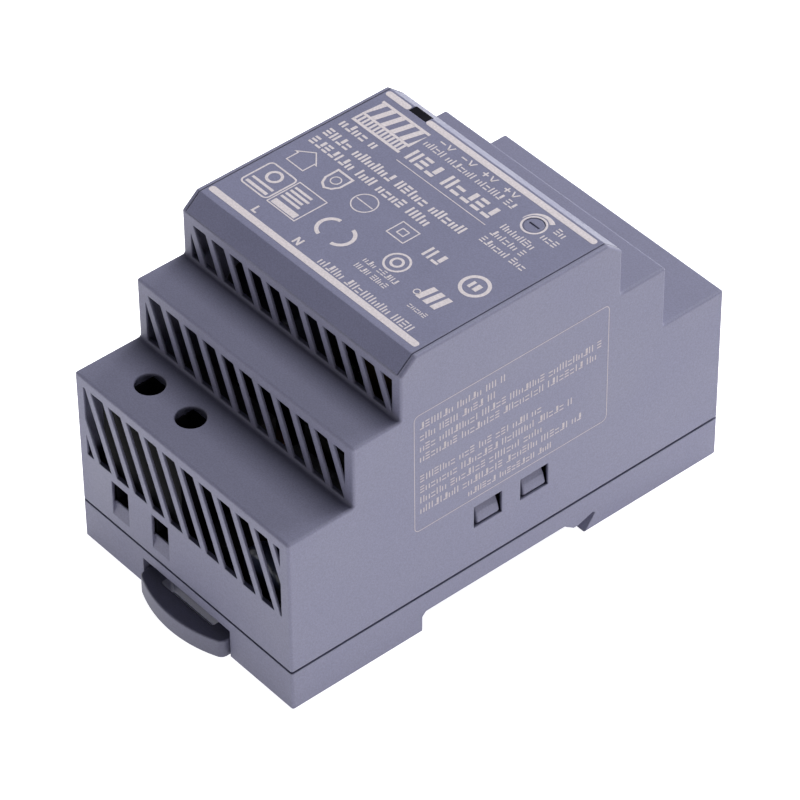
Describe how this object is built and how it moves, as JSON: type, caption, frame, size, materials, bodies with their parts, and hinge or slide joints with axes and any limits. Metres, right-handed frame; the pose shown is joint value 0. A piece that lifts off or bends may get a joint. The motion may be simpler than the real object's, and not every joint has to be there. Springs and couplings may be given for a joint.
{
  "type": "din rail power supply",
  "caption": "Slim plastic-cased power supply that clips onto a DIN rail, with stepped vented ends, screw terminals and a printed front panel.",
  "frame": {"origin": "centre of the rail seat: the plane that the rail's flanges lie against, midway along the rail channel", "axes": "+X across the width along the rail, +Y from the mains input end to the output end, +Z away from the rail to the front panel"},
  "size_m": [0.0524, 0.0936, 0.0585],
  "materials": {
    "housing_plastic": "fine matte texture, grey",
    "panel_plastic": "fine matte texture, grey, light printing",
    "clip_plastic": "matte, grey",
    "adjuster_plastic": "smooth, grey",
    "window_plastic": "dark tinted window",
    "insulation_film": "insulating film",
    "terminal_plastic": "moulded, black",
    "screw_steel": "zinc plated",
    "spring_steel": "drawn spring wire",
    "cage_steel": "zinc plated",
    "tinned_copper": "tin plated",
    "circuit_board": "solder mask, dark green",
    "led_lens": "tinted lens, green",
    "trimmer_plastic": "moulded, blue",
    "component_black": "moulded epoxy",
    "disc_coating": "dipped coating, dark blue",
    "thermistor_coating": "dipped coating, dark green",
    "film_case": "potted box, dark grey",
    "ferrite": "pressed ferrite",
    "copper_winding": "enamelled copper wire, dark",
    "winding_tape": "polyester tape over the winding, dark amber",
    "capacitor_sleeve": "printed shrink sleeve",
    "heatsink_aluminium": "extruded",
    "resistor_body": "lacquered",
    "choke_sleeve": "shrink sleeve"
  },
  "bodies": {
    "housing": {"upper_housing": "housing_plastic", "front_panel": "panel_plastic", "base_housing": "housing_plastic", "insulation_sheet": "insulation_film", "led_window": "window_plastic", "clip_spring": "spring_steel", "input_terminal_block": "terminal_plastic", "output_terminal_block": "terminal_plastic", "input_contact_bars": "tinned_copper", "output_contact_bars": "tinned_copper", "trimmer_body": "trimmer_plastic", "main_circuit_board": "circuit_board", "control_circuit_board": "circuit_board", "status_led": "led_lens", "fuse": "component_black", "varistor": "disc_coating", "inrush_thermistor": "thermistor_coating", "x_capacitor": "film_case", "choke_core": "ferrite", "choke_windings": "copper_winding", "bridge_rectifier": "component_black", "bulk_capacitor": "capacitor_sleeve", "primary_heatsink": "heatsink_aluminium", "switching_transistor": "component_black", "transformer_core": "ferrite", "transformer_bobbin": "component_black", "transformer_winding": "winding_tape", "y_capacitors": "disc_coating", "optocoupler": "component_black", "controller_chip": "component_black", "snubber_resistor": "resistor_body", "secondary_heatsink": "heatsink_aluminium", "output_rectifiers": "component_black", "output_capacitors": "capacitor_sleeve", "output_choke": "choke_sleeve", "chip_resistors": "component_black"},
    "rail_clip": {"rail_clip": "clip_plastic"},
    "voltage_adjuster": {"voltage_adjuster": "adjuster_plastic"},
    "input_screw_live": {"input_screw_live": "screw_steel"},
    "input_cage_live": {"input_cage_live": "cage_steel"},
    "input_screw_neutral": {"input_screw_neutral": "screw_steel"},
    "input_cage_neutral": {"input_cage_neutral": "cage_steel"},
    "output_screw_1": {"output_screw_1": "screw_steel"},
    "output_cage_1": {"output_cage_1": "cage_steel"},
    "output_screw_2": {"output_screw_2": "screw_steel"},
    "output_cage_2": {"output_cage_2": "cage_steel"},
    "output_screw_3": {"output_screw_3": "screw_steel"},
    "output_cage_3": {"output_cage_3": "cage_steel"},
    "output_screw_4": {"output_screw_4": "screw_steel"},
    "output_cage_4": {"output_cage_4": "cage_steel"}
  },
  "joints": [
    {"name": "clip_slide", "type": "slide", "parent": "housing", "child": "rail_clip", "axis": [0, -1, 0], "range_m": [0, 0.004], "stiffness_N_per_m": 600, "springref_m": -0.004, "deforming": ["clip_spring"]},
    {"name": "adjuster_turn", "type": "hinge", "parent": "housing", "child": "voltage_adjuster", "pos_m": [0.015, 0.0142, 0.0559], "axis": [0, 0, 1], "range_deg": [-135, 135]},
    {"name": "input_cage_live_rise", "type": "slide", "parent": "housing", "child": "input_cage_live", "axis": [0, 0, 1], "range_m": [0, 0.0035]},
    {"name": "input_screw_live_turn", "type": "hinge", "parent": "housing", "child": "input_screw_live", "pos_m": [-0.0161, -0.0379, 0.0252], "axis": [0, 0, 1], "range_deg": [-2520, 0]},
    {"name": "input_cage_neutral_rise", "type": "slide", "parent": "housing", "child": "input_cage_neutral", "axis": [0, 0, 1], "range_m": [0, 0.0035]},
    {"name": "input_screw_neutral_turn", "type": "hinge", "parent": "housing", "child": "input_screw_neutral", "pos_m": [-0.00595, -0.0379, 0.0252], "axis": [0, 0, 1], "range_deg": [-2520, 0]},
    {"name": "output_cage_1_rise", "type": "slide", "parent": "housing", "child": "output_cage_1", "axis": [0, 0, 1], "range_m": [0, 0.0035]},
    {"name": "output_screw_1_turn", "type": "hinge", "parent": "housing", "child": "output_screw_1", "pos_m": [-0.00862, 0.0379, 0.0252], "axis": [0, 0, 1], "range_deg": [-2800, 0]},
    {"name": "output_cage_2_rise", "type": "slide", "parent": "housing", "child": "output_cage_2", "axis": [0, 0, 1], "range_m": [0, 0.0035]},
    {"name": "output_screw_2_turn", "type": "hinge", "parent": "housing", "child": "output_screw_2", "pos_m": [-0.00354, 0.0379, 0.0252], "axis": [0, 0, 1], "range_deg": [-2800, 0]},
    {"name": "output_cage_3_rise", "type": "slide", "parent": "housing", "child": "output_cage_3", "axis": [0, 0, 1], "range_m": [0, 0.0035]},
    {"name": "output_screw_3_turn", "type": "hinge", "parent": "housing", "child": "output_screw_3", "pos_m": [0.00154, 0.0379, 0.0252], "axis": [0, 0, 1], "range_deg": [-2800, 0]},
    {"name": "output_cage_4_rise", "type": "slide", "parent": "housing", "child": "output_cage_4", "axis": [0, 0, 1], "range_m": [0, 0.0035]},
    {"name": "output_screw_4_turn", "type": "hinge", "parent": "housing", "child": "output_screw_4", "pos_m": [0.00662, 0.0379, 0.0252], "axis": [0, 0, 1], "range_deg": [-2800, 0]}
  ],
  "couplings": [
    {"joint": "input_screw_live_turn", "follows": "input_cage_live_rise", "rad_per_m": -12566},
    {"joint": "input_screw_neutral_turn", "follows": "input_cage_neutral_rise", "rad_per_m": -12566},
    {"joint": "output_screw_1_turn", "follows": "output_cage_1_rise", "rad_per_m": -13963},
    {"joint": "output_screw_2_turn", "follows": "output_cage_2_rise", "rad_per_m": -13963},
    {"joint": "output_screw_3_turn", "follows": "output_cage_3_rise", "rad_per_m": -13963},
    {"joint": "output_screw_4_turn", "follows": "output_cage_4_rise", "rad_per_m": -13963}
  ]
}
